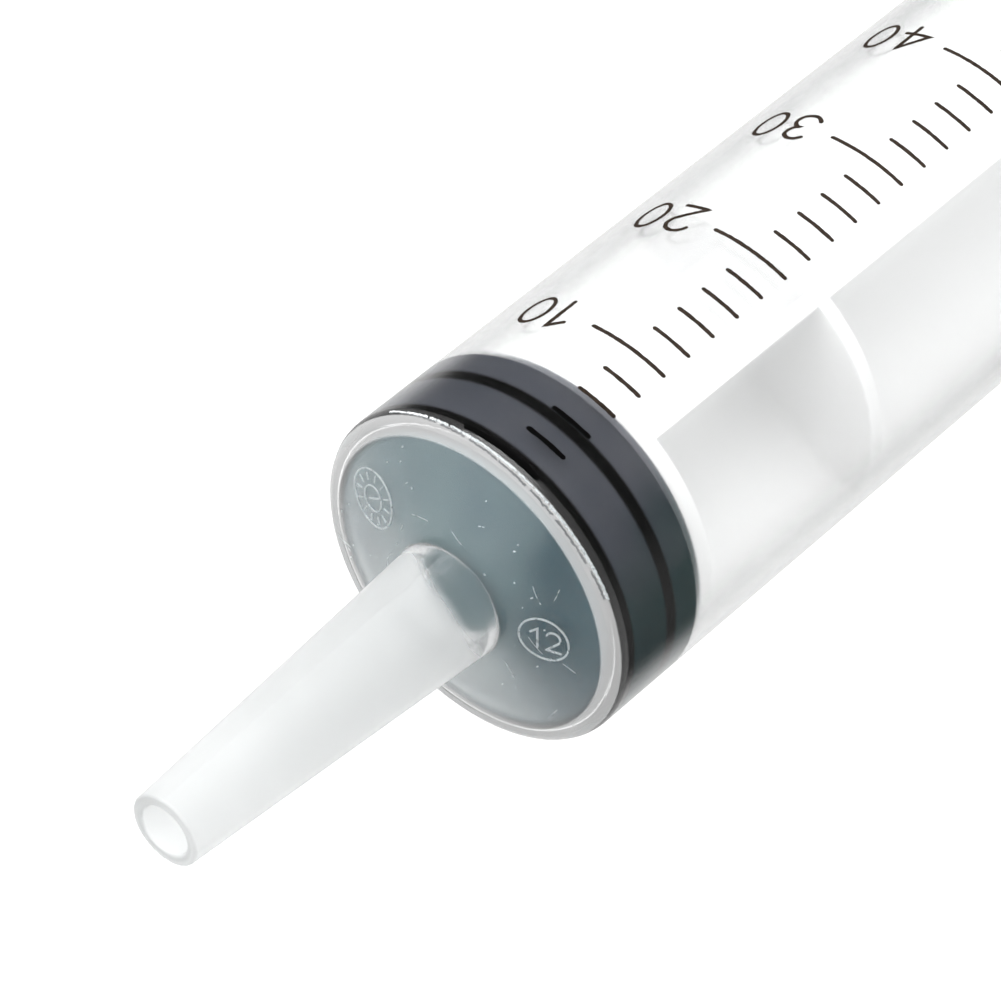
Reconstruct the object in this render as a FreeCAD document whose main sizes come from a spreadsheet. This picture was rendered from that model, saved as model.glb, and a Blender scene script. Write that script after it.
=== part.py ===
import FreeCAD
import Part
import Sketcher
import os
import re

# A disposable syringe of the 60 mL size with a catheter tip, lying on its side with the plunger pushed in.
# It has three mouldings: the barrel with its nozzle and finger flange, the rubber stopper, and the rod.
# Frame: X runs from the nozzle's tip to the thumb rest, Z is up, Y spans the flange's wings. The origin
# lies on the surface that the syringe rests on, under the middle of its length. Millimetres.
# Inside each sub-part X is 0 at the zero mark, where the stopper's front ring stands, and the axis is
# Y = Z = 0.

SIZES = (
    # barrel
    ("bore_diameter", 28.5, "inside of the barrel, which sets the pitch of its scale"),
    ("barrel_wall", 1.35, "wall of the tube"),
    ("barrel_depth", 110.0, "zero mark to the open end"),
    ("mouth_chamfer", 0.5, "lead-in at the open end"),
    ("end_wall", 1.2, "front wall, measured along the axis"),
    ("end_cone_angle", 15.5, "slope of the conical front, in degrees"),
    ("rim_radius", 1.2, "rounded front rim"),
    ("inner_corner_radius", 0.15, "corner between the bore and the front wall"),
    ("nozzle_length", 33.3, "nozzle from its root to its tip"),
    ("nozzle_root_diameter", 10.6, "outside of the nozzle at its root"),
    ("nozzle_tip_diameter", 6.6, "outside of the nozzle at its tip"),
    ("nozzle_root_fillet", 0.3, "fillet round the root"),
    ("nozzle_tip_wall", 1.0, "wall of the nozzle at its tip"),
    ("nozzle_root_wall", 1.2, "wall of the nozzle at its root"),
    ("nozzle_edge_radius", 0.25, "rounding of the tip's edges"),
    ("bead_height", 0.2, "retaining bead inside the open end"),
    ("bead_width", 1.4, "retaining bead along the axis"),
    ("bead_crest", 0.3, "level top of the retaining bead, along the axis"),
    ("bead_setback", 5.0, "open end to the bead"),
    ("flange_span", 52.0, "finger flange across its wings"),
    ("flange_thickness", 2.6, "finger flange along the axis"),
    ("flange_edge_radius", 0.7, "rounding of the flange's edges"),
    ("ridge_height", 0.5, "grip ridges on the flange's front"),
    ("ridge_width", 1.0, "grip ridge across"),
    ("ridge_pitch", 1.8, "one ridge to the next"),
    ("ridge_margin", 2.0, "outermost ridge to the wing's end"),
    ("ridge_length", 14.0, "grip ridge along Z"),
    # stopper
    ("ring_clearance", 0.03, "sealing rings to the bore, radial"),
    ("nose_gap", 0.15, "stopper's nose to the front wall, along the axis"),
    ("nose_inset", 0.65, "bore to the nose's edge, radial"),
    ("front_ring_place", 0.1, "zero mark to the front ring"),
    ("front_ring_width", 1.2, "front sealing ring"),
    ("rear_ring_place", 5.6, "zero mark to the rear ring"),
    ("rear_ring_width", 0.9, "rear sealing ring"),
    ("ring_flank", 0.35, "slope beside a ring, along the axis"),
    ("land_depth", 0.3, "bore to the stopper's side between the rings, radial"),
    ("shoulder_depth", 0.15, "bore to the shoulder ahead of the rear ring, radial"),
    ("shoulder_length", 1.2, "shoulder ahead of the rear ring"),
    ("skirt_bead_place", 8.45, "zero mark to the fine bead round the skirt"),
    ("skirt_bead_width", 0.4, "fine bead"),
    ("skirt_bead_height", 0.05, "fine bead above the skirt"),
    ("stopper_length", 10.25, "zero mark to the stopper's rear edge"),
    ("stopper_edge_radius", 0.15, "rounding of the rear edge"),
    # rod
    ("snap_clearance", 0.05, "button and neck to the stopper's cavity"),
    ("button_diameter", 17.8, "button inside the stopper"),
    ("button_length", 3.9, "cylindrical part of the button"),
    ("button_cone_height", 2.4, "button's conical front"),
    ("button_nose_diameter", 4.0, "flat at the front of the cone"),
    ("neck_diameter", 13.6, "neck between the button and the support disc"),
    ("neck_length", 2.6, "neck along the axis"),
    ("support_disc_thickness", 1.6, "disc that pushes on the stopper"),
    ("guide_disc_place", 33.0, "zero mark to the guide disc"),
    ("guide_disc_thickness", 1.4, "guide disc"),
    ("disc_clearance", 0.25, "discs to the retaining bead, radial"),
    ("vane_clearance", 0.35, "vanes to the retaining bead, radial"),
    ("vane_thickness", 1.4, "each of the four vanes"),
    ("vane_fillet", 1.0, "inner corners of the cross"),
    ("vane_angle", 34.0, "turn of the cross about the axis, in degrees"),
    ("rod_reach", 12.0, "barrel's open end to the thumb rest"),
    ("thumb_diameter", 30.0, "thumb rest"),
    ("thumb_thickness", 2.5, "thumb rest along the axis"),
    ("thumb_edge_radius", 0.8, "rounding of the thumb rest"),
    ("thumb_ring_height", 0.4, "raised rings on the thumb rest"),
    ("thumb_ring_width", 0.8, "raised ring across"),
    ("thumb_ring_radius", 4.0, "innermost raised ring"),
    ("thumb_ring_pitch", 3.2, "one raised ring to the next"),
)
THUMB_RINGS = 3
RIDGES_PER_WING = 3

# Two places or radii of the built form that differ by less than this are the same.
NEAR = 0.001

# Lengths that follow from the sizes, as expressions for the document.
BORE = "(bore_diameter / 2)"
OUTSIDE = f"({BORE} + barrel_wall)"
NOZZLE_ROOT = "(nozzle_root_diameter / 2)"
NOZZLE_TIP = "(nozzle_tip_diameter / 2)"
NOZZLE_BORE_ROOT = f"({NOZZLE_ROOT} - nozzle_root_wall)"
NOZZLE_BORE_TIP = f"({NOZZLE_TIP} - nozzle_tip_wall)"
END_SLOPE = "tan(end_cone_angle)"
RIM_X = f"(barrel_wall * {END_SLOPE} - end_wall)"
ROOT_X = f"(0 - end_wall - ({BORE} - {NOZZLE_ROOT}) * {END_SLOPE})"
TIP_X = f"({ROOT_X} - nozzle_length)"
INNER_ROOT_X = f"(0 - ({BORE} - {NOZZLE_BORE_ROOT}) * {END_SLOPE})"
BEAD = f"({BORE} - bead_height)"
BEAD_REAR_X = "(barrel_depth - bead_setback)"
BEAD_MIDDLE_X = f"({BEAD_REAR_X} - bead_width / 2)"
FLANGE_X = "(barrel_depth - flange_thickness)"
DISC = f"({BEAD} - disc_clearance)"
VANE = f"({BEAD} - vane_clearance)"
RING = f"({BORE} - ring_clearance)"
LAND = f"({BORE} - land_depth)"
NOSE_EDGE = f"({BORE} - nose_inset)"
NOSE_EDGE_X = f"(nose_gap - nose_inset * {END_SLOPE})"
NOSE_TIP_X = f"(nose_gap + {INNER_ROOT_X})"
SUPPORT_X = "(stopper_length + snap_clearance)"
NECK_X = f"({SUPPORT_X} - neck_length)"
BUTTON_X = f"({NECK_X} - button_length)"
BUTTON_TIP_X = f"({BUTTON_X} - button_cone_height)"
THUMB_X = "(barrel_depth + rod_reach)"
THUMB_REAR_X = f"({THUMB_X} + thumb_thickness)"
REAR_X = f"({THUMB_REAR_X} + thumb_ring_height)"
MIDDLE_X = f"(({TIP_X} + {REAR_X}) / 2)"

document = FreeCAD.newDocument("Syringe")


def sized(text):
    """Turns the names of sizes in an expression into cells of the sheet."""
    names = {name for name, _, _ in SIZES}
    return re.sub(r"[a-z_]+", lambda word: ("Sizes." if word.group() in names else "") + word.group(), text)


def make_sheet():
    sheet = document.addObject("Spreadsheet::Sheet", "Sizes")
    for row, (name, value, note) in enumerate(SIZES, start=1):
        sheet.set(f"A{row}", name)
        sheet.set(f"B{row}", str(value))
        sheet.set(f"C{row}", note)
        sheet.setAlias(f"B{row}", name)
    document.recompute()
    return sheet


def value_of(text):
    return float(sheet.evalExpression(sized(text)))


def new_body(label, turn="0"):
    """A sub-part whose zero mark and axis are placed in the syringe's frame."""
    body = document.addObject("PartDesign::Body", label)
    body.Label = label
    body.Placement = FreeCAD.Placement(FreeCAD.Vector(), FreeCAD.Rotation(FreeCAD.Vector(1, 0, 0), 0))
    body.setExpression("Placement.Base.x", sized(f"0 - {MIDDLE_X}"))
    body.setExpression("Placement.Base.z", sized(OUTSIDE))
    body.setExpression("Placement.Rotation.Angle", sized(turn))
    return body


def new_sketch(body, name, plane, offset="0"):
    """A sketch on one of the body's origin planes, moved along the plane's normal by an expression."""
    sketch = body.newObject("Sketcher::SketchObject", name)
    support = next(item for item in body.Origin.OriginFeatures if item.Role == plane)
    sketch.AttachmentSupport = (support, "")
    sketch.MapMode = "FlatFace"
    sketch.setExpression("AttachmentOffset.Base.z", sized(offset))
    return sketch


def point(across, up):
    return FreeCAD.Vector(across, up, 0)


def add_outline(sketch, corners):
    """Adds a closed outline of straight sides, each corner held by its own pair of expressions."""
    points = [point(value_of(across), value_of(up)) for across, up in corners]
    first = sketch.GeometryCount
    count = len(points)
    for index in range(count):
        sketch.addGeometry(Part.LineSegment(points[index], points[(index + 1) % count]), False)
    for index in range(count):
        following = (index + 1) % count
        sketch.addConstraint(Sketcher.Constraint("Coincident", first + index, 2, first + following, 1))
    for index, (across, up) in enumerate(corners):
        for kind, text, place in (("DistanceX", across, points[index].x), ("DistanceY", up, points[index].y)):
            if text == "0":
                axis = -2 if kind == "DistanceX" else -1
                sketch.addConstraint(Sketcher.Constraint("PointOnObject", first + index, 1, axis))
            else:
                number = sketch.addConstraint(Sketcher.Constraint(kind, -1, 1, first + index, 1, place))
                sketch.setExpression(f"Constraints[{number}]", sized(text))


def add_circle(sketch, radius):
    circle = Part.Circle(point(0, 0), FreeCAD.Vector(0, 0, 1), value_of(radius))
    index = sketch.addGeometry(circle, False)
    sketch.addConstraint(Sketcher.Constraint("Coincident", index, 3, -1, 1))
    number = sketch.addConstraint(Sketcher.Constraint("Radius", index, value_of(radius)))
    sketch.setExpression(f"Constraints[{number}]", sized(radius))


def turned(body, kind, name, corners):
    """Adds or cuts a form turned about the axis; its outline gives X and the radius."""
    sketch = new_sketch(body, name + "_outline", "XZ_Plane")
    add_outline(sketch, corners)
    feature = body.newObject(kind, name)
    feature.Profile = sketch
    feature.ReferenceAxis = (sketch, ["H_Axis"])
    feature.Angle = 360
    document.recompute()
    return feature


def padded(body, name, sketch, length):
    """Pads a sketch of the YZ plane towards the thumb rest."""
    pad = body.newObject("PartDesign::Pad", name)
    pad.Profile = sketch
    pad.setExpression("Length", sized(length))
    document.recompute()
    return pad


def rounded(body, name, radius, chosen):
    """Fillets the edges of the body's present form that the given test picks."""
    base = body.Tip
    edges = [f"Edge{number}" for number, edge in enumerate(base.Shape.Edges, start=1) if chosen(edge)]
    if not edges:
        raise RuntimeError(name + " finds no edge")
    fillet = body.newObject("PartDesign::Fillet", name)
    fillet.Base = (base, edges)
    fillet.setExpression("Radius", sized(radius))
    document.recompute()
    return fillet


def is_hoop(edge, place, radius):
    """Tells whether an edge is a circle about the axis at this X and of this radius."""
    if not isinstance(edge.Curve, Part.Circle):
        return False
    centre = edge.Curve.Center
    centred = abs(centre.y) < NEAR and abs(centre.z) < NEAR
    placed = abs(centre.x - value_of(place)) < NEAR
    return centred and placed and abs(edge.Curve.Radius - value_of(radius)) < NEAR


def is_flange_edge(edge):
    """Picks the rear face's outline and, in front, the ends of the wings: the tube meets the flats there."""
    box = edge.BoundBox
    in_rear_face = box.XLength < NEAR and abs(box.XMin - value_of("barrel_depth")) < NEAR
    return in_rear_face or is_hoop(edge, FLANGE_X, "(flange_span / 2)")


def make_barrel():
    body = new_body("barrel")
    turned(body, "PartDesign::Revolution", "tube", (
        (TIP_X, "0"),
        (TIP_X, NOZZLE_TIP),
        (ROOT_X, NOZZLE_ROOT),
        (RIM_X, OUTSIDE),
        ("barrel_depth", OUTSIDE),
        ("barrel_depth", "0"),
    ))
    add_flange(body)
    turned(body, "PartDesign::Groove", "hollow", (
        (TIP_X, "0"),
        (TIP_X, NOZZLE_BORE_TIP),
        (INNER_ROOT_X, NOZZLE_BORE_ROOT),
        ("0", BORE),
        (f"({BEAD_REAR_X} - bead_width)", BORE),
        (f"({BEAD_MIDDLE_X} - bead_crest / 2)", BEAD),
        (f"({BEAD_MIDDLE_X} + bead_crest / 2)", BEAD),
        (BEAD_REAR_X, BORE),
        ("(barrel_depth - mouth_chamfer)", BORE),
        ("barrel_depth", f"({BORE} + mouth_chamfer)"),
        ("barrel_depth", "0"),
    ))
    rounded(body, "rim", "rim_radius", lambda edge: is_hoop(edge, RIM_X, OUTSIDE))
    rounded(body, "inner_corner", "inner_corner_radius", lambda edge: is_hoop(edge, "0", BORE))
    rounded(body, "nozzle_root", "nozzle_root_fillet", lambda edge: is_hoop(edge, ROOT_X, NOZZLE_ROOT))
    rounded(body, "nozzle_edges", "nozzle_edge_radius", lambda edge: (
        is_hoop(edge, TIP_X, NOZZLE_TIP) or is_hoop(edge, TIP_X, NOZZLE_BORE_TIP)))
    return body


def add_flange(body):
    """The finger flange is a disc with two flats, level with the tube, so that the syringe can't roll."""
    sketch = new_sketch(body, "flange_outline", "YZ_Plane", FLANGE_X)
    span = value_of("flange_span / 2")
    flat = value_of(OUTSIDE)
    end = (span ** 2 - flat ** 2) ** 0.5
    top = sketch.addGeometry(Part.LineSegment(point(-end, flat), point(end, flat)), False)
    right = sketch.addGeometry(Part.Arc(point(end, flat), point(span, 0), point(end, -flat)), False)
    bottom = sketch.addGeometry(Part.LineSegment(point(end, -flat), point(-end, -flat)), False)
    left = sketch.addGeometry(Part.Arc(point(-end, -flat), point(-span, 0), point(-end, flat)), False)
    # Both arcs run anticlockwise: the right one starts at its lower end, the left one at its upper end.
    for one, one_end, other, other_end in (
            (top, 2, right, 2), (right, 1, bottom, 1), (bottom, 2, left, 2), (left, 1, top, 1)):
        sketch.addConstraint(Sketcher.Constraint("Coincident", one, one_end, other, other_end))
    for line in (top, bottom):
        sketch.addConstraint(Sketcher.Constraint("Horizontal", line))
    for arc in (right, left):
        sketch.addConstraint(Sketcher.Constraint("Coincident", arc, 3, -1, 1))
    radius = sketch.addConstraint(Sketcher.Constraint("Radius", right, span))
    sketch.setExpression(f"Constraints[{radius}]", sized("flange_span / 2"))
    for line, side in ((top, 1), (bottom, -1)):
        height = sketch.addConstraint(Sketcher.Constraint("DistanceY", -1, 1, line, 1, side * flat))
        sketch.setExpression(f"Constraints[{height}]", sized(f"{side} * {OUTSIDE}"))
    padded(body, "flange", sketch, "flange_thickness")
    rounded(body, "flange_edges", "flange_edge_radius", is_flange_edge)
    add_ridges(body)


def add_ridges(body):
    """Grip ridges on the wings' front side, repeated inwards and mirrored to the other wing."""
    outer = "(flange_span / 2 - ridge_margin)"
    inner = f"({outer} - ridge_width)"
    sketch = new_sketch(body, "ridge_outline", "YZ_Plane", f"{FLANGE_X} - ridge_height")
    add_outline(sketch, (
        (outer, "(0 - ridge_length / 2)"),
        (outer, "(ridge_length / 2)"),
        (inner, "(ridge_length / 2)"),
        (inner, "(0 - ridge_length / 2)"),
    ))
    ridge = padded(body, "ridge", sketch, "ridge_height + flange_thickness / 2")
    transform = body.newObject("PartDesign::MultiTransform", "ridges")
    transform.Originals = [ridge]
    row = body.newObject("PartDesign::LinearPattern", "ridge_row")
    row.Direction = (sketch, ["H_Axis"])
    row.Reversed = True
    row.Occurrences = RIDGES_PER_WING
    row.setExpression("Length", sized(f"ridge_pitch * {RIDGES_PER_WING - 1}"))
    mirror = body.newObject("PartDesign::Mirrored", "ridge_mirror")
    mirror.MirrorPlane = (sketch, ["V_Axis"])
    transform.Transformations = [row, mirror]
    body.Tip = transform
    document.recompute()


def make_stopper():
    body = new_body("stopper")
    rear_ring_end = "(rear_ring_place + rear_ring_width)"
    front_ring_end = "(front_ring_place + front_ring_width)"
    shoulder = f"({BORE} - shoulder_depth)"
    turned(body, "PartDesign::Revolution", "ringed_form", (
        (NOSE_TIP_X, "0"),
        (NOSE_TIP_X, NOZZLE_BORE_ROOT),
        (NOSE_EDGE_X, NOSE_EDGE),
        ("front_ring_place", RING),
        (front_ring_end, RING),
        (f"({front_ring_end} + ring_flank)", LAND),
        ("(rear_ring_place - shoulder_length - ring_flank)", LAND),
        ("(rear_ring_place - shoulder_length)", shoulder),
        ("(rear_ring_place - ring_flank / 2)", shoulder),
        ("rear_ring_place", RING),
        (rear_ring_end, RING),
        (f"({rear_ring_end} + ring_flank)", LAND),
        ("skirt_bead_place", LAND),
        ("(skirt_bead_place + skirt_bead_width / 2)", f"({LAND} + skirt_bead_height)"),
        ("(skirt_bead_place + skirt_bead_width)", LAND),
        ("stopper_length", LAND),
        ("stopper_length", "0"),
    ))
    neck = "(neck_diameter / 2 + snap_clearance)"
    button = "(button_diameter / 2 + snap_clearance)"
    turned(body, "PartDesign::Groove", "cavity", (
        (f"({BUTTON_TIP_X} - snap_clearance)", "0"),
        (f"({BUTTON_TIP_X} - snap_clearance)", "(button_nose_diameter / 2)"),
        (f"({BUTTON_X} - snap_clearance)", button),
        (f"({NECK_X} + snap_clearance)", button),
        (f"({NECK_X} + snap_clearance)", neck),
        ("stopper_length", neck),
        ("stopper_length", "0"),
    ))
    rounded(body, "rear_edge", "stopper_edge_radius", lambda edge: is_hoop(edge, "stopper_length", LAND))
    return body


def make_rod():
    body = new_body("plunger_rod", "vane_angle")
    sketch = new_sketch(body, "cross_outline", "YZ_Plane", SUPPORT_X)
    side = "(vane_thickness / 2)"
    other_side = f"(0 - {side})"
    far_end = f"(0 - {VANE})"
    add_outline(sketch, (
        (side, VANE),
        (side, side),
        (VANE, side),
        (VANE, other_side),
        (side, other_side),
        (side, far_end),
        (other_side, far_end),
        (other_side, other_side),
        (far_end, other_side),
        (far_end, side),
        (other_side, side),
        (other_side, VANE),
    ))
    padded(body, "vanes", sketch, f"{THUMB_X} - {SUPPORT_X}")
    half = value_of(side)
    rounded(body, "vane_corners", "vane_fillet", lambda edge: (
        edge.BoundBox.XLength > NEAR
        and abs(abs(edge.BoundBox.Center.y) - half) < NEAR
        and abs(abs(edge.BoundBox.Center.z) - half) < NEAR))
    turned(body, "PartDesign::Revolution", "snap_head", (
        (BUTTON_TIP_X, "0"),
        (BUTTON_TIP_X, "(button_nose_diameter / 2)"),
        (BUTTON_X, "(button_diameter / 2)"),
        (NECK_X, "(button_diameter / 2)"),
        (NECK_X, "(neck_diameter / 2)"),
        (SUPPORT_X, "(neck_diameter / 2)"),
        (SUPPORT_X, DISC),
        (f"({SUPPORT_X} + support_disc_thickness)", DISC),
        (f"({SUPPORT_X} + support_disc_thickness)", "0"),
    ))
    disc_sketch = new_sketch(body, "guide_disc_outline", "YZ_Plane", "guide_disc_place")
    add_circle(disc_sketch, DISC)
    padded(body, "guide_disc", disc_sketch, "guide_disc_thickness")
    add_thumb_rest(body)
    return body


def add_thumb_rest(body):
    rim = "(thumb_diameter / 2)"
    sketch = new_sketch(body, "thumb_outline", "YZ_Plane", THUMB_X)
    add_circle(sketch, rim)
    padded(body, "thumb_rest", sketch, "thumb_thickness")
    rounded(body, "thumb_edges", "thumb_edge_radius", lambda edge: (
        is_hoop(edge, THUMB_X, rim) or is_hoop(edge, THUMB_REAR_X, rim)))
    rooted = f"({THUMB_REAR_X} - thumb_ring_height)"
    for index in range(THUMB_RINGS):
        inside = f"(thumb_ring_radius + {index} * thumb_ring_pitch)"
        outside = f"({inside} + thumb_ring_width)"
        turned(body, "PartDesign::Revolution", f"thumb_ring_{index + 1}", (
            (rooted, inside),
            (REAR_X, inside),
            (REAR_X, outside),
            (rooted, outside),
        ))


def write_parts(bodies):
    """Stops at a failed object or a bad solid, and writes one STEP file for each sub-part."""
    document.recompute()
    for item in document.Objects:
        if "Invalid" in item.State or "Error" in item.State:
            raise RuntimeError(item.Name + " failed to build")
    for body in bodies:
        if body.Shape.isNull() or not body.Shape.isValid() or len(body.Shape.Solids) != 1:
            raise RuntimeError(body.Label + " is not one valid solid")
    os.makedirs("parts", exist_ok=True)
    for body in bodies:
        body.Shape.exportStep(f"parts/{body.Label}.step")


sheet = make_sheet()
write_parts([make_barrel(), make_stopper(), make_rod()])
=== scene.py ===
import math
import random

import bpy
from bpy.props import FloatProperty, FloatVectorProperty, IntProperty, PointerProperty
from mathutils import Matrix, Vector


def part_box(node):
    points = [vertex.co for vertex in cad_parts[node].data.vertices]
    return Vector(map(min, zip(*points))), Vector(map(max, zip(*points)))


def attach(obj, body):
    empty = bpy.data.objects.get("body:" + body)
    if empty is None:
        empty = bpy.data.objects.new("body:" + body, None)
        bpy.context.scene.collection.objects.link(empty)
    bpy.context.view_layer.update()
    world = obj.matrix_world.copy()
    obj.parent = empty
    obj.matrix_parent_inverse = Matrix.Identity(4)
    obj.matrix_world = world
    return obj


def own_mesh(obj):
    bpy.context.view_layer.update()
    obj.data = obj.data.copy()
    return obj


bl_info = {
    "name": "Disposable syringe",
    "version": (1, 0, 0),
    "blender": (4, 5, 0),
    "location": "View3D > Sidebar > Syringe",
    "description": "Dresses a syringe's solids with their plastics, rubber, printed scale and moulding marks",
    "category": "Object",
}

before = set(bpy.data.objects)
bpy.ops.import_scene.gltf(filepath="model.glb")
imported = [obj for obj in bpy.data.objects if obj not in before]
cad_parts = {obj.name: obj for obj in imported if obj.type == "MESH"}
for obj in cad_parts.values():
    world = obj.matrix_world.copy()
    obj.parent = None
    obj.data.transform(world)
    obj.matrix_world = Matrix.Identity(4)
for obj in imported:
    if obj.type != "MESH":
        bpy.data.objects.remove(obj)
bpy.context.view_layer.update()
BARREL_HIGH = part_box("barrel")[1]

MM = 0.001

# Places that follow from the solids. X runs from the nozzle's tip to the thumb rest.
TUBE_RADIUS = BARREL_HIGH.z / 2
AXIS_Z = TUBE_RADIUS
BARREL_DEPTH = 110 * MM
ZERO_X = BARREL_HIGH.x - BARREL_DEPTH
BORE_RADIUS = 14.25 * MM
NOZZLE_ROOT_RADIUS = 5.3 * MM
NOZZLE_TIP_RADIUS = 3.3 * MM
NOZZLE_LENGTH = 33.3 * MM
RIM_RADIUS = 1.2 * MM
END_WALL = 1.2 * MM
END_SLOPE = math.tan(math.radians(15.5))
ROOT_X = ZERO_X - END_WALL - (BORE_RADIUS - NOZZLE_ROOT_RADIUS) * END_SLOPE

# Length round the tube's outside that one degree takes.
DEGREE = math.radians(1) * TUBE_RADIUS

# The rounded rim runs into the tube's side here.
RIM_END_X = ZERO_X + 0.087 * MM

# The nozzle's root is clear round this angle from the top towards -Y. How far a place lies to
# that side, as a share of the root's radius, sets how far from the wall the frosting starts.
CLEAR_SIDE = math.radians(46)
CLEAR_FROM, CLEAR_TO = 0.15, 0.95
FROST_NEAR, FROST_FAR = 0.3 * MM, 2.8 * MM
FROST_FADE = 1.8 * MM

# The stopper's sealing rings, and the wet films on its two lands, measured from the zero mark.
FRONT_RING = (0.1 * MM, 1.3 * MM)
REAR_RING = (5.6 * MM, 6.5 * MM)
FRONT_FILM = (FRONT_RING[1], REAR_RING[0])
REAR_FILM = (REAR_RING[1], 9.3 * MM)

# Places of the print round the tube, in degrees from the top line towards -Y.
LONG_MARK_START = -3.3
SHORT_MARK_START = 10.6
MARK_END = 23.8
NUMERAL_FOOT = -11.4

# Refractive index of polypropylene.
PLASTIC_IOR = 1.49


def on_tube(along, around, height=0.0):
    """A point over the tube: along from the zero mark, around from the top line towards -Y, both as lengths."""
    angle = around / TUBE_RADIUS
    radius = TUBE_RADIUS + height
    return Vector((ZERO_X + along, -radius * math.sin(angle), AXIS_Z + radius * math.cos(angle)))


def on_front(radius, angle, height=0.0):
    """A point over the conical front wall. The angle is from the top towards -Y."""
    along_x = ROOT_X + (radius - NOZZLE_ROOT_RADIUS) * END_SLOPE
    lean = math.atan(END_SLOPE)
    radius += height * math.sin(lean)
    along_x -= height * math.cos(lean)
    return Vector((along_x, -radius * math.sin(angle), AXIS_Z + radius * math.cos(angle)))


def on_rim(along, around, height=0.0):
    """A point over the rounded front rim, given like a point over the tube. It stops short of the rim's front."""
    inwards = min(RIM_RADIUS * 0.96, max(0.0, RIM_END_X - ZERO_X - along))
    drop = RIM_RADIUS - math.sqrt(RIM_RADIUS ** 2 - inwards ** 2)
    return on_tube(along, around, height - drop)


def on_front_chart(across, up, height=0.0):
    """A point over the front wall, seen from the front: across towards -Y and up from the axis."""
    return on_front(math.hypot(across, up), math.atan2(across, up), height)


class Scale(bpy.types.PropertyGroup):
    """The printed scale"""
    pitch: FloatProperty(
        name="Pitch", description="Tube length that holds 10 mL",
        default=15.675 * MM, unit="LENGTH")
    top_mark: IntProperty(name="Highest mark", description="Millilitres at the last long mark", default=60)
    line_width: FloatProperty(
        name="Line width", description="Width of a printed line",
        default=0.40 * MM, unit="LENGTH")
    numeral_height: FloatProperty(
        name="Numeral height", description="Height of the digits",
        default=3.75 * MM, unit="LENGTH")
    ink: FloatVectorProperty(
        name="Ink", description="Colour of the print",
        default=(0.024, 0.017, 0.013), subtype="COLOR")
    # Painted shade: the print's colour at the first marks, over the dark stopper, where no light comes through
    # the ink from behind.
    thick_ink: FloatVectorProperty(
        name="Thick ink", description="Colour of the print at the first marks",
        default=(0.001, 0.001, 0.001), subtype="COLOR")


class Plastics(bpy.types.PropertyGroup):
    """The barrel's and the rod's plastics"""
    clear_tint: FloatVectorProperty(
        name="Barrel tint", description="Tint of the clear plastic",
        default=(0.99, 0.995, 0.995), subtype="COLOR")
    nozzle_tint: FloatVectorProperty(
        name="Nozzle tint", description="Tint of the frosted nozzle",
        default=(0.72, 0.73, 0.73), subtype="COLOR")
    # Painted light: the lighter tint on the nozzle's outer underside.
    thin_tint: FloatVectorProperty(
        name="Thin tint", description="Tint of the nozzle's thinner underside",
        default=(0.90, 0.91, 0.91), subtype="COLOR")
    rod_colour: FloatVectorProperty(
        name="Rod colour", description="Colour of the plunger rod",
        default=(0.70, 0.70, 0.70), subtype="COLOR")
    tube_haze: FloatProperty(
        name="Tube haze", description="Share of light that the tube scatters",
        default=0.001, subtype="FACTOR", min=0, max=1)
    nozzle_haze: FloatProperty(
        name="Nozzle haze", description="Share of light that the nozzle scatters",
        default=0.25, subtype="FACTOR", min=0, max=1)
    rim_haze: FloatProperty(
        name="Rim haze", description="Share of light that the thick front rim scatters",
        default=0.26, subtype="FACTOR", min=0, max=1)


class Rubber(bpy.types.PropertyGroup):
    """The stopper's colours"""
    contact: FloatVectorProperty(
        name="Ring colour", description="Rubber where it is pressed against the bore",
        default=(0.0005, 0.0005, 0.0005), subtype="COLOR")
    # Painted light: the lands' colour on top, lighter than at the sides.
    land: FloatVectorProperty(
        name="Land colour", description="Rubber between the rings, on top",
        default=(0.084, 0.088, 0.104), subtype="COLOR")
    # Painted shade: the lands' colour at the sides and underneath.
    land_side: FloatVectorProperty(
        name="Side colour", description="Rubber between the rings, at the sides",
        default=(0.010, 0.030, 0.032), subtype="COLOR")
    # Painted light: the nose's colour on its lit side, towards +Y.
    nose: FloatVectorProperty(
        name="Nose colour", description="Rubber behind the front wall, with a film of bloom",
        default=(0.112, 0.158, 0.172), subtype="COLOR")
    # Painted shade: the nose's colour on its shaded side, towards -Y.
    bare_nose: FloatVectorProperty(
        name="Bare nose colour", description="Rubber behind the front wall, without bloom",
        default=(0.018, 0.053, 0.068), subtype="COLOR")


class Stage(bpy.types.PropertyGroup):
    """The floor and the lights"""
    floor: FloatVectorProperty(
        name="Floor", description="Colour of the floor",
        default=(0.06, 0.06, 0.06), subtype="COLOR")
    floor_glow: FloatProperty(name="Floor glow", description="Light of the lit table from below", default=1.2)
    top_light: FloatProperty(
        name="Top light", description="Power of the overhead light",
        default=7.0, unit="POWER")
    room_light: FloatProperty(
        name="Room light", description="Strength of the light from all round",
        default=1.48)
    card_light: FloatProperty(
        name="Pale cards", description="Strength of the cards that show in gloss",
        default=1.15)
    dark_card: FloatProperty(
        name="Dark card", description="Strength of the dark card beyond the flange",
        default=0.04)


# Materials.

def new_material(name):
    """A new material with one plain shader, and that shader."""
    material = bpy.data.materials.new(name)
    material.use_nodes = True
    nodes = material.node_tree.nodes
    nodes.clear()
    output = nodes.new("ShaderNodeOutputMaterial")
    shader = nodes.new("ShaderNodeBsdfPrincipled")
    material.node_tree.links.new(shader.outputs["BSDF"], output.inputs["Surface"])
    return material, shader


def add_node(material, kind, **settings):
    """Adds a node. Keys are its attributes, or its inputs where they start with a capital."""
    node = material.node_tree.nodes.new(kind)
    for key, value in settings.items():
        if key[0].isupper():
            node.inputs[key].default_value = value
        else:
            setattr(node, key, value)
    return node


def join(material, output, target):
    material.node_tree.links.new(output, target)


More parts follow.
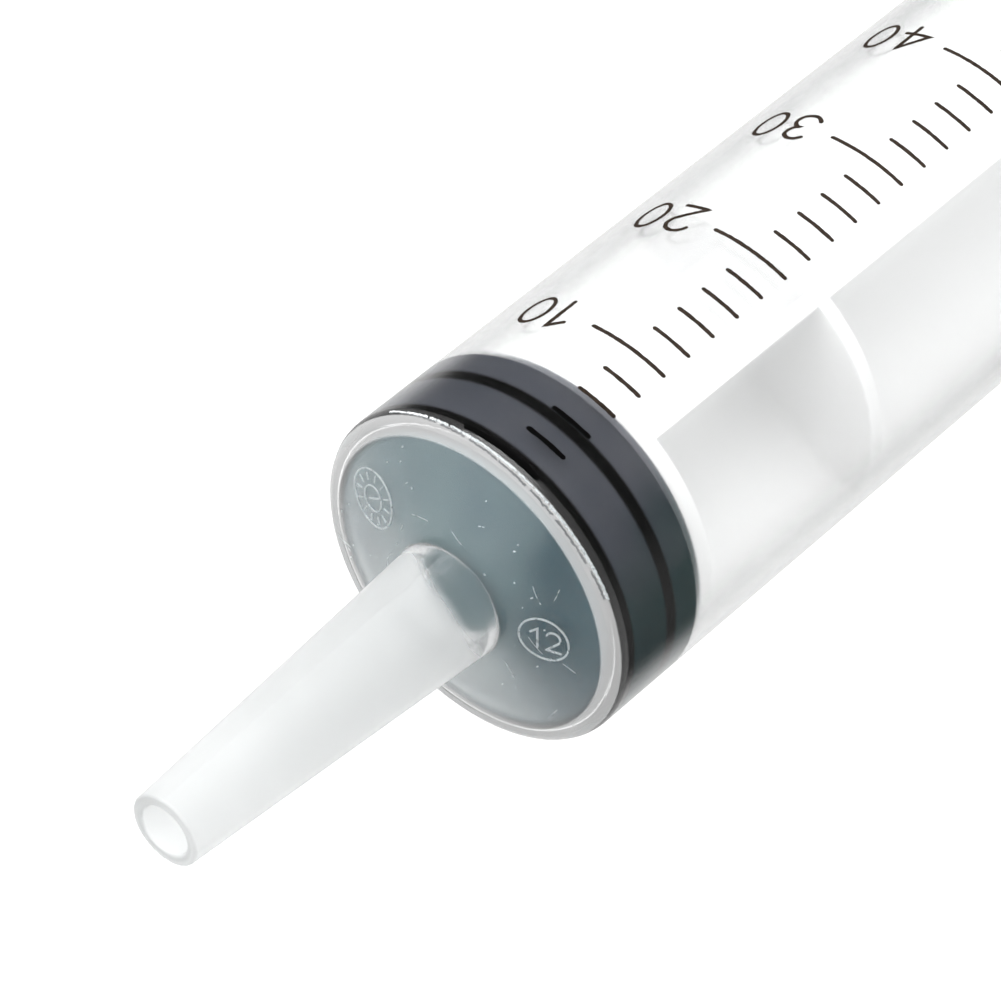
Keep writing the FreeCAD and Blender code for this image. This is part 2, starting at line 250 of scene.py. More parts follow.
def place_of(material):
    """Object coordinates, split, which ride with the piece."""
    coordinate = add_node(material, "ShaderNodeTexCoord")
    split = add_node(material, "ShaderNodeSeparateXYZ")
    join(material, coordinate.outputs["Object"], split.inputs[0])
    return coordinate.outputs["Object"], split


def ramp_between(material, value, start, end, low, high):
    """Eases from low to high as the value goes from start to end."""
    node = add_node(material, "ShaderNodeMapRange", interpolation_type="SMOOTHSTEP")
    join(material, value, node.inputs["Value"])
    for name, number in (("From Min", start), ("From Max", end), ("To Min", low), ("To Max", high)):
        node.inputs[name].default_value = number
    return node.outputs["Result"]


def noise_of(material, coordinate, scale):
    node = add_node(material, "ShaderNodeTexNoise", Scale=scale, Detail=3.0)
    join(material, coordinate, node.inputs["Vector"])
    return node.outputs["Fac"]


def math_of(material, operation, first, second):
    node = add_node(material, "ShaderNodeMath", operation=operation)
    for socket, value in zip(node.inputs, (first, second)):
        if isinstance(value, (int, float)):
            socket.default_value = value
        else:
            join(material, value, socket)
    return node.outputs[0]


def mixed_colour(material, factor, first, second, **settings):
    """Mixes two colours. Each is a colour of three numbers or the output of a node."""
    node = add_node(material, "ShaderNodeMix", data_type="RGBA", **settings)
    if isinstance(factor, float):
        node.inputs[0].default_value = factor
    else:
        join(material, factor, node.inputs[0])
    for socket, colour in ((node.inputs[6], first), (node.inputs[7], second)):
        if isinstance(colour, bpy.types.NodeSocket):
            join(material, colour, socket)
        else:
            socket.default_value = (*colour, 1)
    return node.outputs[2]


def patchy_colour(material, shader, patch, first, second):
    """Gives the shader a colour that wanders between two, and may go a little past them."""
    join(material, mixed_colour(material, patch, first, second, clamp_factor=False), shader.inputs["Base Color"])


def shaded(colour, share):
    return tuple(channel * share for channel in colour)


def distance_from_axis(material, split):
    up = math_of(material, "SUBTRACT", split.outputs["Z"], AXIS_Z)
    squares = math_of(
        material, "ADD", math_of(material, "MULTIPLY", up, up),
        math_of(material, "MULTIPLY", split.outputs["Y"], split.outputs["Y"]))
    return math_of(material, "SQRT", squares, 0.0)


def bumped(material, shader, height, distance):
    bump = add_node(material, "ShaderNodeBump", Strength=1.0, Distance=distance)
    join(material, height, bump.inputs["Height"])
    join(material, bump.outputs["Normal"], shader.inputs["Normal"])


def frosting(material, split):
    """1 on the frosted nozzle and 0 on the clear tube. On one side the root stays clear for a few millimetres."""
    up = math_of(material, "SUBTRACT", split.outputs["Z"], AXIS_Z)
    up = math_of(material, "MULTIPLY", up, math.cos(CLEAR_SIDE))
    across = math_of(material, "MULTIPLY", split.outputs["Y"], -math.sin(CLEAR_SIDE))
    side = math_of(material, "DIVIDE", math_of(material, "ADD", up, across), NOZZLE_ROOT_RADIUS)
    reach = ramp_between(material, side, CLEAR_FROM, CLEAR_TO, FROST_NEAR, FROST_FAR)
    ahead = math_of(material, "SUBTRACT", ROOT_X, split.outputs["X"])
    return ramp_between(material, math_of(material, "SUBTRACT", ahead, reach), 0.0, FROST_FADE, 0.0, 1.0)


def nozzle_radius(material, split):
    """The tapered nozzle's outside radius at each place along it."""
    node = add_node(material, "ShaderNodeMapRange")
    join(material, split.outputs["X"], node.inputs["Value"])
    for name, number in (
            ("From Min", ROOT_X - NOZZLE_LENGTH), ("From Max", ROOT_X),
            ("To Min", NOZZLE_TIP_RADIUS), ("To Max", NOZZLE_ROOT_RADIUS)):
        node.inputs[name].default_value = number
    return node.outputs["Result"]


def clear_polypropylene():
    """Clear on the tube, frosted on the nozzle, and hazy in the thick front rim. The nozzle's underside is
    lighter as painted light, and its bore darker as painted shade.
    """
    settings = bpy.context.scene.syringe_plastics
    material, shader = new_material("clear_polypropylene")
    coordinate, split = place_of(material)
    frosted = frosting(material, split)
    cloud = noise_of(material, coordinate, 90.0)
    milky = math_of(material, "MULTIPLY", frosted, ramp_between(material, cloud, 0.3, 0.7, 0.85, 1.0))
    from_axis = distance_from_axis(material, split)
    depth = math_of(material, "DIVIDE", from_axis, nozzle_radius(material, split))
    # Painted light and shade: the nozzle's underside takes a lighter tint, while its top and its bore keep the
    # darker nozzle tint.
    bore_shade = ramp_between(material, depth, 0.80, 0.92, 1.0, 0.0)
    nozzle_light_and_shade = ramp_between(material, split.outputs["Z"], AXIS_Z - 2.5 * MM, AXIS_Z + 3 * MM, 0.0, 1.0)
    nozzle_light_and_shade = math_of(material, "MAXIMUM", nozzle_light_and_shade, bore_shade)
    frosted_lit_and_shaded_tint = mixed_colour(material, nozzle_light_and_shade, settings.thin_tint, settings.nozzle_tint)
    tint = mixed_colour(material, milky, settings.clear_tint, frosted_lit_and_shaded_tint)
    join(material, tint, shader.inputs["Base Color"])
    grain = noise_of(material, coordinate, 900.0)
    rough = math_of(material, "ADD", math_of(material, "MULTIPLY", frosted, 0.10), 0.21)
    speckled = math_of(material, "ADD", math_of(material, "MULTIPLY", grain, 0.02), rough)
    join(material, speckled, shader.inputs["Roughness"])
    thick = ramp_between(material, from_axis, 13.72 * MM, 14.0 * MM, 0.0, settings.rim_haze)
    ahead = ramp_between(material, split.outputs["X"], ZERO_X - 0.5 * MM, ZERO_X - 0.65 * MM, 0.0, 1.0)
    thick = math_of(material, "MULTIPLY", thick, ahead)
    haze = math_of(material, "MULTIPLY", frosted, settings.nozzle_haze - settings.tube_haze)
    haze = math_of(material, "ADD", haze, math_of(material, "ADD", thick, settings.tube_haze))
    join(material, math_of(material, "SUBTRACT", 1.0, haze), shader.inputs["Transmission Weight"])
    shader.inputs["IOR"].default_value = PLASTIC_IOR
    shader.inputs["Specular IOR Level"].default_value = 0.12
    bumped(material, shader, math_of(material, "MULTIPLY", grain, frosted), 0.004 * MM)
    return material


def white_polypropylene():
    """The plunger rod's whitish plastic, which light soaks into."""
    colour = bpy.context.scene.syringe_plastics.rod_colour
    material, shader = new_material("white_polypropylene")
    coordinate, _ = place_of(material)
    cloud = noise_of(material, coordinate, 60.0)
    patchy_colour(material, shader, cloud, colour, shaded(colour, 0.98))
    grain = noise_of(material, coordinate, 700.0)
    join(material, ramp_between(material, grain, 0.0, 1.0, 0.32, 0.44), shader.inputs["Roughness"])
    shader.inputs["IOR"].default_value = PLASTIC_IOR
    shader.inputs["Subsurface Weight"].default_value = 0.4
    shader.inputs["Subsurface Radius"].default_value = (1.0, 1.0, 1.0)
    shader.inputs["Subsurface Scale"].default_value = 4.0 * MM
    bumped(material, shader, grain, 0.001 * MM)
    return material


def dark_rubber():
    """The stopper's rubber: slate on the lands, grey-green on the nose, black on the rings. Painted shade darkens
    the lands' sides and underside, and the nose towards -Y.
    """
    settings = bpy.context.scene.syringe_rubber
    material, shader = new_material("dark_rubber")
    coordinate, split = place_of(material)
    along = math_of(material, "SUBTRACT", split.outputs["X"], ZERO_X)
    edge = 0.15 * MM
    masks = []
    for start, end in (FRONT_RING, REAR_RING):
        opening = ramp_between(material, along, start - 2 * edge, start, 0.0, 1.0)
        closing = ramp_between(material, along, end, end + 2 * edge, 1.0, 0.0)
        masks.append(math_of(material, "MULTIPLY", opening, closing))
    rings = math_of(material, "MAXIMUM", masks[0], masks[1])
    nose = ramp_between(material, along, -0.02 * MM, 0.08 * MM, 1.0, 0.0)
    cloud = ramp_between(material, noise_of(material, coordinate, 110.0), 0.3, 0.7, -0.0015, 0.0015)
    # Painted shade: the lands darken from the top down to the sides and underneath, along a wavy edge.
    height = math_of(material, "ADD", cloud, split.outputs["Z"])
    top = ramp_between(material, height, AXIS_Z + 3 * MM, AXIS_Z + 11.5 * MM, 0.0, 1.0)
    # Painted shade: the nose darkens towards -Y, along a wavy edge.
    across = math_of(material, "ADD", cloud, split.outputs["Y"])
    painted_light = ramp_between(material, across, -9.5 * MM, -1.0 * MM, 0.0, 1.0)
    land_lit_and_shaded = mixed_colour(material, top, settings.land_side, settings.land)
    nose_lit_and_shaded = mixed_colour(material, painted_light, settings.bare_nose, settings.nose)
    colour = mixed_colour(material, nose, land_lit_and_shaded, nose_lit_and_shaded)
    colour = mixed_colour(material, rings, colour, settings.contact)
    streak = noise_of(material, coordinate, 130.0)
    shade = mixed_colour(material, streak, (0.55, 0.62, 0.70), (1.35, 1.30, 1.22), clamp_factor=False)
    colour = mixed_colour(material, 1.0, colour, shade, blend_type="MULTIPLY")
    join(material, colour, shader.inputs["Base Color"])
    grain = noise_of(material, coordinate, 1200.0)
    join(material, ramp_between(material, grain, 0.0, 1.0, 0.35, 0.55), shader.inputs["Roughness"])
    shader.inputs["IOR"].default_value = 1.4
    shader.inputs["Specular IOR Level"].default_value = 0.06
    bumped(material, shader, grain, 0.003 * MM)
    return material


def contact_rubber():
    """Rubber pressed against the bore: nearly no light comes back."""
    dark = bpy.context.scene.syringe_rubber.contact
    material, shader = new_material("contact_rubber")
    coordinate, _ = place_of(material)
    streak = noise_of(material, coordinate, 300.0)
    patchy_colour(material, shader, streak, dark, shaded(dark, 2.2))
    join(material, ramp_between(material, streak, 0.0, 1.0, 0.55, 0.75), shader.inputs["Roughness"])
    shader.inputs["IOR"].default_value = 1.45
    shader.inputs["Specular IOR Level"].default_value = 0.0
    return material


def printed_ink():
    """The print's ink, near black at the first marks over the stopper as painted shade."""
    settings = bpy.context.scene.syringe_scale
    material, shader = new_material("printed_ink")
    coordinate, split = place_of(material)
    patch = noise_of(material, coordinate, 2500.0)
    # Painted shade: the ink is near black over the stopper, up to about 8 mm from the zero mark.
    clear_of_painted_shade = ramp_between(material, split.outputs["X"], ZERO_X + 8 * MM, ZERO_X + 9.5 * MM, 0.0, 1.0)
    cover = math_of(material, "MULTIPLY", clear_of_painted_shade, ramp_between(material, patch, 0.3, 0.7, 0.7, 1.3))
    patchy_colour(material, shader, cover, settings.thick_ink, settings.ink)
    join(material, ramp_between(material, patch, 0.0, 1.0, 0.55, 0.75), shader.inputs["Roughness"])
    shader.inputs["Specular IOR Level"].default_value = 0.02
    bumped(material, shader, patch, 0.003 * MM)
    return material


def embossed_plastic():
    """The barrel's plastic where the mould left it raised and a little dull."""
    material, shader = new_material("embossed_plastic")
    coordinate, _ = place_of(material)
    patch = noise_of(material, coordinate, 1500.0)
    patchy_colour(material, shader, patch, (0.55, 0.60, 0.62), (0.75, 0.79, 0.80))
    join(material, ramp_between(material, patch, 0.0, 1.0, 0.2, 0.4), shader.inputs["Roughness"])
    shader.inputs["IOR"].default_value = PLASTIC_IOR
    shader.inputs["Transmission Weight"].default_value = 0.7
    bumped(material, shader, patch, 0.004 * MM)
    return material


def crease_shade():
    """A painted shadow: a dark strip beside the rim's flash."""
    material, shader = new_material("crease_shade")
    coordinate, _ = place_of(material)
    patch = noise_of(material, coordinate, 900.0)
    patchy_colour(material, shader, patch, (0.05, 0.052, 0.055), (0.16, 0.165, 0.17))
    shader.inputs["Roughness"].default_value = 0.6
    return material


# Helpers that build meshes.

def new_piece(name, vertices, faces, material, smooth=True):
    mesh = bpy.data.meshes.new(name)
    mesh.from_pydata([tuple(vertex) for vertex in vertices], [], faces)
    mesh.materials.append(material)
    mesh.validate()
    mesh.update()
    if smooth:
        mesh.shade_smooth()
    piece = bpy.data.objects.new(name, mesh)
    bpy.context.scene.collection.objects.link(piece)
    return piece


def arc(centre, across, up, start, end, count=14):
    """Points on an ellipse's arc, angles in degrees."""
    points = []
    for index in range(count + 1):
        angle = math.radians(start + (end - start) * index / count)
        points.append((centre[0] + across * math.cos(angle), centre[1] + up * math.sin(angle)))
    return points


# Pen lines of each digit, in a box one high. Across is to the right, up is up.
DIGITS = {
    "0": (0.64, [arc((0.32, 0.5), 0.32, 0.5, 90, 450, 30)]),
    "1": (0.42, [[(0.06, 0.74), (0.36, 1.0), (0.36, 0.0)]]),
    "2": (0.62, [arc((0.31, 0.71), 0.29, 0.29, 165, -38, 16) + [(0.02, 0.0), (0.62, 0.0)]]),
    "3": (0.60, [arc((0.28, 0.755), 0.26, 0.245, 155, -78, 14) + arc((0.28, 0.265), 0.30, 0.265, 78, -155, 16)]),
    "4": (0.66, [[(0.46, 0.0), (0.46, 1.0), (0.0, 0.31), (0.66, 0.31)]]),
    "5": (0.60, [[(0.54, 1.0), (0.10, 1.0), (0.05, 0.54)] + arc((0.27, 0.32), 0.30, 0.32, 120, -150, 18)]),
    "6": (0.60, [arc((0.62, 0.36), 0.60, 0.66, 108, 180, 10) + arc((0.31, 0.32), 0.29, 0.32, 180, 540, 28)]),
}


def resampled(points, step):
    """The same line with a point at about every step, its corners kept."""
    fine = [Vector(points[0])]
    for first, second in zip(points, points[1:]):
        first, second = Vector(first), Vector(second)
        count = max(1, round((second - first).length / step))
        for index in range(1, count + 1):
            fine.append(first.lerp(second, index / count))
    return fine


def pen_strip(points, width, step, rng, wobble):
    """Left and right edges of a pen line with round ends and a slightly uneven edge."""
    fine = resampled(points, step)
    half = width / 2
    pairs = []
    closed = (fine[0] - fine[-1]).length < step / 4
    for index, point in enumerate(fine):
        before = fine[index - 1] if index else (fine[-2] if closed else point)
        after = fine[index + 1] if index + 1 < len(fine) else (fine[1] if closed else point)
        incoming = (point - before).normalized() if (point - before).length else (after - point).normalized()
        outgoing = (after - point).normalized() if (after - point).length else incoming
        tangent = (incoming + outgoing).normalized()
        stretch = 1 / max(0.5, tangent.dot(outgoing))
        side = Vector((-tangent.y, tangent.x))
        left = half * stretch * (1 + rng.uniform(-wobble, wobble))
        right = half * stretch * (1 + rng.uniform(-wobble, wobble))
        pairs.append((point + side * left, point - side * right))
    if closed:
        pairs[-1] = pairs[0]
        return pairs
    caps = (20, 50, 75)
    for end in (0, -1):
        point = fine[end]
        outward = (fine[0] - fine[1]).normalized() if end == 0 else (fine[-1] - fine[-2]).normalized()
        side = Vector((outward.y, -outward.x)) if end == 0 else Vector((-outward.y, outward.x))
        extra = []
        for degrees in caps:
            angle = math.radians(degrees)
            middle = point + outward * half * math.sin(angle)
            reach = side * half * math.cos(angle)
            extra.append((middle + reach, middle - reach))
        if end == 0:
            pairs = list(reversed(extra)) + pairs
        else:
            pairs = pairs + extra
    return pairs


def raised_strips(strips, place, height, sunk):
    """Turns flat strips into thin raised lines. place(across, up, height) gives a point of the surface."""
    vertices, faces = [], []
    for pairs in strips:
        start = len(vertices)
        for left, right in pairs:
            vertices.append(place(left.x, left.y, -sunk))
            vertices.append(place(left.x, left.y, height))
            vertices.append(place(right.x, right.y, height))
            vertices.append(place(right.x, right.y, -sunk))
        count = len(pairs)
        for index in range(count - 1):
            row = start + 4 * index
            for corner in range(3):
                faces.append((row + corner, row + corner + 1, row + corner + 5, row + corner + 4))
            faces.append((row + 3, row, row + 4, row + 7))
        faces.append((start, start + 3, start + 2, start + 1))
        last = start + 4 * (count - 1)
        faces.append((last, last + 1, last + 2, last + 3))
    return vertices, faces


def numeral_strips(text, height, origin, across, up, width, step, rng, wobble, gap=0.30):
    """Strips of a number's digits. origin is its lower left corner; across and up are unit directions."""
    strips = []
    shift = 0.0
    for digit in text:
        wide, lines = DIGITS[digit]
        for line in lines:
            points = [origin + across * ((shift + x) * height) + up * (y * height) for x, y in line]
            strips.append(pen_strip(points, width, step, rng, wobble))
        shift += wide + gap
    return strips


# Operators, one for each piece or group of like pieces.

def dress(node, material):
    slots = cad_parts[node].data.materials
    slots.clear()
    slots.append(material)


class SYRINGE_OT_barrel(bpy.types.Operator):
    """Gives the barrel its clear, slightly hazy plastic and the frosted nozzle"""
    bl_idname = "syringe.barrel"
    bl_label = "Barrel"

    def execute(self, context):
        dress("barrel", clear_polypropylene())
        return {"FINISHED"}


class SYRINGE_OT_stopper(bpy.types.Operator):
    """Gives the stopper its rubber, and lays its rings and wet lands against the bore"""
    bl_idname = "syringe.stopper"
    bl_label = "Stopper"

    def execute(self, context):
        bare = dark_rubber()
        dress("stopper", bare)
        pressed = contact_rubber()
        bands = (
            ("front_seal", FRONT_RING, pressed), ("front_film", FRONT_FILM, bare),
            ("rear_seal", REAR_RING, pressed), ("rear_film", REAR_FILM, bare),
        )
        for name, (start, end), material in bands:
            piece = self.seal(name, start, end, material)
            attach(piece, "stopper")
            if name == "rear_film":
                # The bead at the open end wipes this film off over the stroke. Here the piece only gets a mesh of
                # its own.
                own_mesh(piece)
        return {"FINISHED"}

    def seal(self, name, start, end, material):
        """A band round the stopper, which bites a hair into the bore's wall as wet rubber clings to it."""
        bite = 0.02 * MM
        edge = 0.05 * MM
        inside, outside = BORE_RADIUS - edge, BORE_RADIUS + bite
        profile = (
            (start, inside), (start, BORE_RADIUS), (start + edge, outside),
            (end - edge, outside), (end, BORE_RADIUS), (end, inside),
        )
        count = 240
        vertices, faces = [], []
        for index in range(count):
            angle = math.tau * index / count
            for along, radius in profile:
                vertices.append((ZERO_X + along, -radius * math.sin(angle), AXIS_Z + radius * math.cos(angle)))
        size = len(profile)
        for index in range(count):
            row, following = index * size, (index + 1) % count * size
            for corner in range(size):
                other = (corner + 1) % size
                faces.append((row + corner, row + other, following + other, following + corner))
        return new_piece(name, vertices, faces, material)


class SYRINGE_OT_rod(bpy.types.Operator):
    """Gives the plunger rod its whitish plastic"""
    bl_idname = "syringe.rod"
    bl_label = "Plunger rod"

    def execute(self, context):
        dress("plunger_rod", white_polypropylene())
        return {"FINISHED"}


class SYRINGE_OT_scale(bpy.types.Operator):
    """Prints the volume scale on the tube: long marks with numerals, and short marks between"""
    bl_idname = "syringe.scale"
    bl_label = "Printed scale"

    def execute(self, context):
        settings = context.scene.syringe_scale
        rng = random.Random(7)
        step = 0.22 * MM
        wobble = 0.14
        marks, numerals = [], []
        for volume in range(0, settings.top_mark + 1, 2):
            along = settings.pitch * volume / 10
            left = LONG_MARK_START if volume % 10 == 0 else SHORT_MARK_START
            line = [(along, left * DEGREE), (along, MARK_END * DEGREE)]
            width = settings.line_width * (1.2 if volume < 6 else 1.0)
            marks.append(pen_strip(line, width, step, rng, wobble))
            if volume and volume % 10 == 0:
                origin = Vector((along + settings.numeral_height / 2, NUMERAL_FOOT * DEGREE))
                numerals += numeral_strips(
                    str(volume), settings.numeral_height, origin, Vector((0, -1)), Vector((-1, 0)),
                    settings.line_width, step, rng, wobble)
        ink = printed_ink()
        for name, strips in (("scale_marks", marks), ("scale_numerals", numerals)):
            vertices, faces = raised_strips(strips, on_tube, 0.02 * MM, 0.0)
            piece = new_piece(name, vertices, faces, ink, smooth=False)
            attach(piece, "barrel")
        return {"FINISHED"}


class SYRINGE_OT_mould_marks(bpy.types.Operator):
    """Raises what the mould leaves: a cavity number, a date dial, specks, scratches and the rim's flash, with a
    painted shadow beside the flash
    """
    bl_idname = "syringe.mould_marks"
    bl_label = "Moulding marks"

    def execute(self, context):
        rng = random.Random(11)
        plastic = embossed_plastic()
        for name, strips, place, height, sunk in (
                ("cavity_number", self.cavity_number(rng), on_front_chart, 0.06 * MM, 0.05 * MM),
                ("date_dial", self.date_dial(rng), on_front_chart, 0.06 * MM, 0.05 * MM),
                ("front_scratches", self.scratches(rng), on_front_chart, 0.02 * MM, 0.03 * MM),
                ("front_specks", self.specks(rng), on_front_chart, 0.05 * MM, 0.05 * MM),
                ("rim_flash", self.flash(rng), on_rim, 0.05 * MM, 0.06 * MM)):
            vertices, faces = raised_strips(strips, place, height, sunk)
            piece = new_piece(name, vertices, faces, plastic, smooth=False)
            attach(piece, "barrel")
        # Painted shadow: a dark strip along the rim behind the flash.
        crease, faces = raised_strips(self.crease(rng), on_rim, 0.015 * MM, 0.02 * MM)
        piece = new_piece("rim_flash_shadow", crease, faces, crease_shade(), smooth=False)
        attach(piece, "barrel")
        return {"FINISHED"}

    def ring(self, centre, radius, width, rng):
        points = [centre + Vector(point) for point in arc((0, 0), radius, radius, 0, 360, 72)]
        return pen_strip(points, width, 0.2 * MM, rng, 0.1)

    def cavity_number(self, rng):
        """A plain number in a ring."""
        centre = Vector((9.1 * MM, 0.4 * MM))
        height = 2.0 * MM
        strips = [self.ring(centre, 2.1 * MM, 0.16 * MM, rng)]
        origin = centre + Vector((-1.25 * MM, -height / 2))
        across, up = Vector((1, 0)), Vector((0, 1))
        return strips + numeral_strips("12", height, origin, across, up, 0.17 * MM, 0.12 * MM, rng, 0.1)

    def date_dial(self, rng):
        """Two rings with twelve short lines between them and a pointer."""
        centre = Vector((-9.0 * MM, 4.8 * MM))
        strips = [self.ring(centre, 2.5 * MM, 0.14 * MM, rng), self.ring(centre, 1.1 * MM, 0.12 * MM, rng)]
        for hour in range(12):
            angle = math.tau * hour / 12
            outwards = Vector((math.cos(angle), math.sin(angle)))
            line = [centre + outwards * 1.55 * MM, centre + outwards * 2.15 * MM]
            strips.append(pen_strip(line, 0.12 * MM, 0.1 * MM, rng, 0.15))
        pointer = [centre - Vector((0.5, 0.3)) * MM, centre + Vector((0.7, 0.42)) * MM]
        strips.append(pen_strip(pointer, 0.16 * MM, 0.1 * MM, rng, 0.1))
        return strips

    def strewn(self, rng, radii, angles, lengths):
        """A place on the front wall, a heading and a length, drawn from ranges in millimetres and radians."""
        radius, angle = rng.uniform(*radii) * MM, rng.uniform(*angles)
        start = Vector((radius * math.sin(angle), radius * math.cos(angle)))
        heading = rng.uniform(0, math.tau)
        return start, heading, rng.uniform(*lengths) * MM

    def scratches(self, rng):
        """Fine bent scratches, strewn over the front wall."""
        strips = []
        for _ in range(16):
            start, heading, length = self.strewn(rng, (6.5, 13.0), (-2.0, 2.4), (0.5, 2.2))
            bend = rng.uniform(-0.4, 0.4)
            line = [start]
            for _ in range(4):
                heading += bend / 4
                line.append(line[-1] + Vector((math.cos(heading), math.sin(heading))) * length / 4)
            strips.append(pen_strip(line, rng.uniform(0.025, 0.05) * MM, 0.1 * MM, rng, 0.3))
        return strips

    def specks(self, rng):
        """Short thick specks, strewn over the front wall."""
        strips = []
        for _ in range(34):
            start, heading, length = self.strewn(rng, (5.9, 13.4), (-2.6, 2.6), (0.03, 0.16))
            end = start + Vector((math.cos(heading), math.sin(heading))) * length
            strips.append(pen_strip([start, end], rng.uniform(0.06, 0.13) * MM, 0.04 * MM, rng, 0.25))
        return strips

    def rim_line(self, angle, middle, curve):
        """Place along the axis of a line on the rim, which bends back away from its middle at 35 degrees."""
        return (middle + curve * ((angle - 35) / 50) ** 2) * MM

    def rim_strips(self, rng, start, end, lengths, parts, middle, curve, width, wobble, gaps):
        """Torn lines round the rim, one after another. Lengths and gaps are ranges in degrees."""
        strips = []
        angle = start
        while angle < end:
            length = rng.uniform(*lengths)
            line = []
            for index in range(parts + 1):
                place = angle + length * index / parts
                along = self.rim_line(place, middle, curve) + rng.uniform(-0.03, 0.03) * MM
                line.append((along, place * DEGREE))
            strips.append(pen_strip(line, width(), 0.12 * MM, rng, wobble))
            angle += length + rng.uniform(*gaps)
        return strips

    def flash(self, rng):
        """A torn edge of plastic round the upper part of the rim."""
        return self.rim_strips(
            rng, -34.0, 58.0, (2.0, 9.0), 11, -0.70, 0.20, lambda: rng.uniform(0.08, 0.16) * MM, 0.4, (0.1, 1.2))

    def crease(self, rng):
        """A painted shadow: the dark strip behind the torn edge."""
        return self.rim_strips(
            rng, -30.0, 57.0, (3.0, 12.0), 13, -0.92, 0.30, lambda: 0.09 * MM, 0.6, (0.3, 3.0))


class SYRINGE_OT_stage(bpy.types.Operator):
    """Sets the floor, the soft lights, the cards that show in gloss, and the camera"""
    bl_idname = "syringe.stage"
    bl_label = "Stage"

    def execute(self, context):
        settings = context.scene.syringe_stage
        self.floor(settings.floor, settings.floor_glow)
        self.lights(context, settings)
        self.cards(settings)
        self.camera(context)
        context.scene.view_settings.view_transform = "Standard"
        # Light inside the tube is followed sharply, so that the rod isn't darkened there.
        context.scene.cycles.blur_glossy = 0.0
        return {"FINISHED"}

    def floor(self, colour, glow):
        """A plain white sheet, lit from below like a light table."""
        material, shader = new_material("floor")
        coordinate, _ = place_of(material)
        paper = noise_of(material, coordinate, 40.0)
        patchy_colour(material, shader, paper, colour, shaded(colour, 0.995))
        shader.inputs["Roughness"].default_value = 0.9
        shader.inputs["Specular IOR Level"].default_value = 0.0
        shader.inputs["Emission Color"].default_value = (1, 1, 1, 1)
        shader.inputs["Emission Strength"].default_value = glow
        reach = 2.0
        height = -0.05 * MM
        corners = [(x * reach, y * reach, height) for x, y in ((-1, -1), (1, -1), (1, 1), (-1, 1))]
        floor = new_piece("floor", corners, [(0, 1, 2, 3)], material, smooth=False)
        floor.visible_glossy = False

    def lights(self, context, settings):
        """Even light from all round, and one soft lamp above."""
        world = bpy.data.worlds.new("room")
        world.use_nodes = True
        background = world.node_tree.nodes["Background"]
        background.inputs["Color"].default_value = (1, 1, 1, 1)
        background.inputs["Strength"].default_value = settings.room_light
        world.cycles_visibility.glossy = False
        context.scene.world = world
        self.soft_light("top_light", (-0.25, 0.15, 0.75), 0.7, settings.top_light)

    def cards(self, settings):
        """Pale cards all round that only gloss sees. A dark one is beyond the flange, a dim one low in front."""
        radius = 3.0
        material, shader = new_material("cards")
        _, split = place_of(material)
        x, y, z = (math_of(material, "DIVIDE", split.outputs[axis], radius) for axis in "XYZ")

        def ramps_of(first, second):
            """The product of two ramps. Each is a value, where it starts and ends, and its height."""
            return math_of(material, "MULTIPLY", *(
                ramp_between(material, value, start, end, 0.0, high)
                for value, start, end, high in (first, second)))

        # The dark card is a strip across the axis, and fades out behind the tube.
        strip = ramps_of((x, 0.34, 0.44, 1.0), (x, 0.82, 0.72, 1.0))
        up, across = math_of(material, "MULTIPLY", z, 0.829), math_of(material, "MULTIPLY", y, 0.559)
        facing = math_of(material, "SUBTRACT", up, across)
        dark = math_of(material, "MULTIPLY", strip, ramp_between(material, facing, -0.75, -0.35, 0.0, 1.0))
        dim = ramps_of((x, -0.35, -0.75, 0.8), (z, 0.05, -0.2, 1.0))
        shade = math_of(material, "MAXIMUM", dark, dim)
        light = ramp_between(material, shade, 0.0, 1.0, settings.card_light, settings.dark_card)
        join(material, light, shader.inputs["Emission Strength"])
        shader.inputs["Emission Color"].default_value = (1, 1, 1, 1)
        shader.inputs["Base Color"].default_value = (0, 0, 0, 1)
        shader.inputs["Specular IOR Level"].default_value = 0.0
        material.cycles.emission_sampling = "NONE"
        vertices, faces = self.globe(radius, 24, 48)
        cards = new_piece("cards", vertices, faces, material)
        for kind in ("camera", "diffuse", "transmission", "volume_scatter", "shadow"):
            setattr(cards, "visible_" + kind, False)

    def globe(self, radius, rows, columns):
        """Points and faces of a closed round shell."""
        vertices = [(0, 0, -radius)]
        for row in range(1, rows):
            lift = math.pi * row / rows
            wide, height = radius * math.sin(lift), -radius * math.cos(lift)
            for column in range(columns):
                turn = math.tau * column / columns
                vertices.append((wide * math.cos(turn), wide * math.sin(turn), height))
        vertices.append((0, 0, radius))
        faces = []
        for column in range(columns):
            after = (column + 1) % columns
            faces.append((0, 1 + column, 1 + after))
            for row in range(rows - 2):
                base = 1 + row * columns
                faces.append((base + column, base + columns + column, base + columns + after, base + after))
            base = 1 + (rows - 2) * columns
            faces.append((base + column, len(vertices) - 1, base + after))
        return vertices, faces

    def soft_light(self, name, place, side, power):
        """A square lamp that faces the part."""
        light = bpy.data.lights.new(name, "AREA")
        light.shape = "SQUARE"
        light.size = side
        light.energy = power
        lamp = bpy.data.objects.new(name, light)
        lamp.location = place
        lamp.rotation_euler = (Vector((0, 0, 0)) - Vector(place)).to_track_quat("-Z", "Y").to_euler()
        bpy.context.scene.collection.objects.link(lamp)

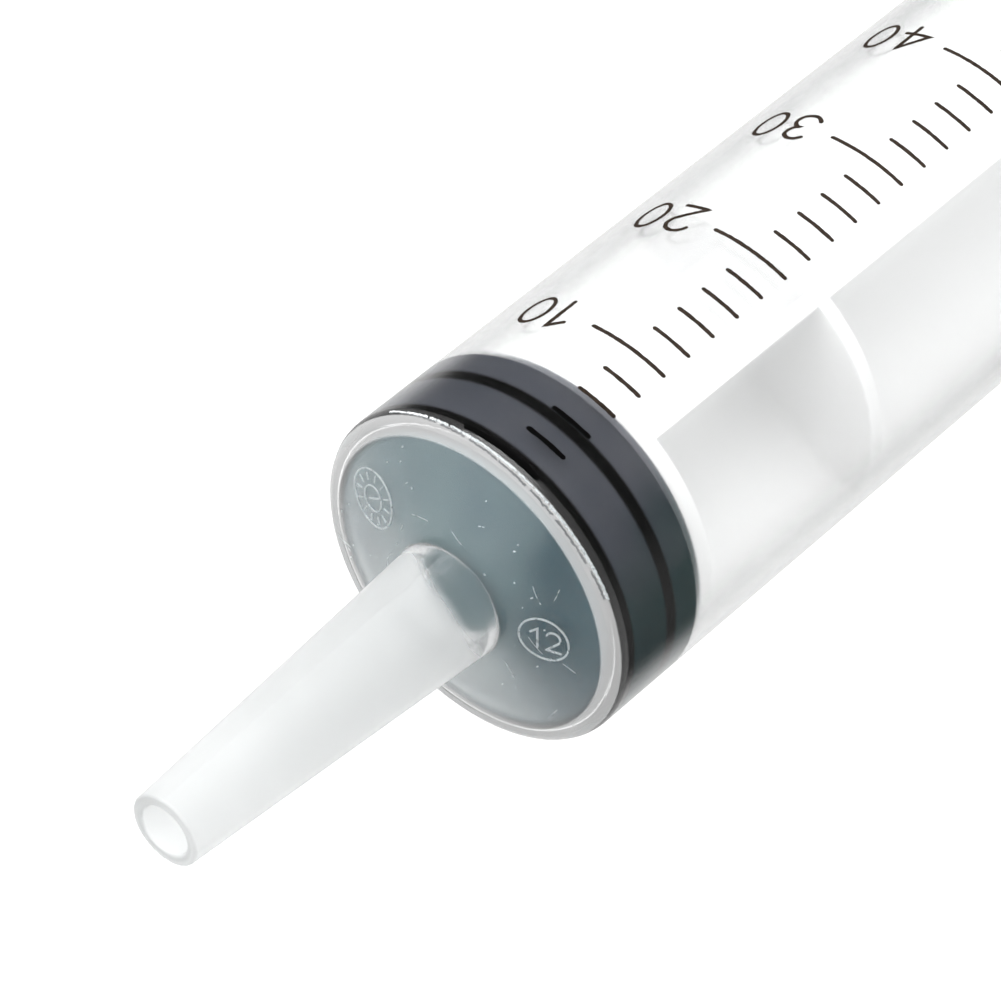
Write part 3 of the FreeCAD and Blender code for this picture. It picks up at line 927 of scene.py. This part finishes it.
    def camera(self, context):
        """The photograph's place, direction and lens, as fitted to the barrel and its scale."""
        place = Vector((-273.03, -200.39, 303.18)) * MM
        forward = Vector((0.55743, 0.481545, -0.676303)).normalized()
        right = Vector((0.64666, -0.762711, -0.010074)).normalized()
        above = right.cross(forward)
        data = bpy.data.cameras.new("camera")
        data.sensor_width = 36.0
        data.lens = 187.26
        data.clip_start = 0.01
        data.clip_end = 20.0
        camera = bpy.data.objects.new("camera", data)
        turn = Matrix((right, above, -forward)).transposed()
        camera.matrix_world = Matrix.Translation(place) @ turn.to_4x4()
        context.scene.collection.objects.link(camera)
        context.scene.camera = camera


class SYRINGE_PT_panel(bpy.types.Panel):
    """Lists the steps that dress the syringe"""
    bl_idname = "SYRINGE_PT_panel"
    bl_label = "Disposable syringe"
    bl_space_type = "VIEW_3D"
    bl_region_type = "UI"
    bl_category = "Syringe"

    def draw(self, context):
        for operator in OPERATORS:
            self.layout.operator(operator.bl_idname)


SETTINGS = {
    "syringe_scale": Scale, "syringe_plastics": Plastics, "syringe_rubber": Rubber, "syringe_stage": Stage,
}
OPERATORS = (
    SYRINGE_OT_barrel, SYRINGE_OT_stopper, SYRINGE_OT_rod,
    SYRINGE_OT_scale, SYRINGE_OT_mould_marks, SYRINGE_OT_stage,
)


def register():
    for group in SETTINGS.values():
        bpy.utils.register_class(group)
    for name, group in SETTINGS.items():
        setattr(bpy.types.Scene, name, PointerProperty(type=group))
    for operator in OPERATORS:
        bpy.utils.register_class(operator)
    bpy.utils.register_class(SYRINGE_PT_panel)


def unregister():
    bpy.utils.unregister_class(SYRINGE_PT_panel)
    for operator in reversed(OPERATORS):
        bpy.utils.unregister_class(operator)
    for name in SETTINGS:
        delattr(bpy.types.Scene, name)
    for group in reversed(list(SETTINGS.values())):
        bpy.utils.unregister_class(group)


def main():
    register()
    bpy.ops.syringe.barrel()
    bpy.ops.syringe.stopper()
    bpy.ops.syringe.rod()
    bpy.ops.syringe.scale()
    bpy.ops.syringe.mould_marks()
    bpy.ops.syringe.stage()


if __name__ == "__main__":
    main()
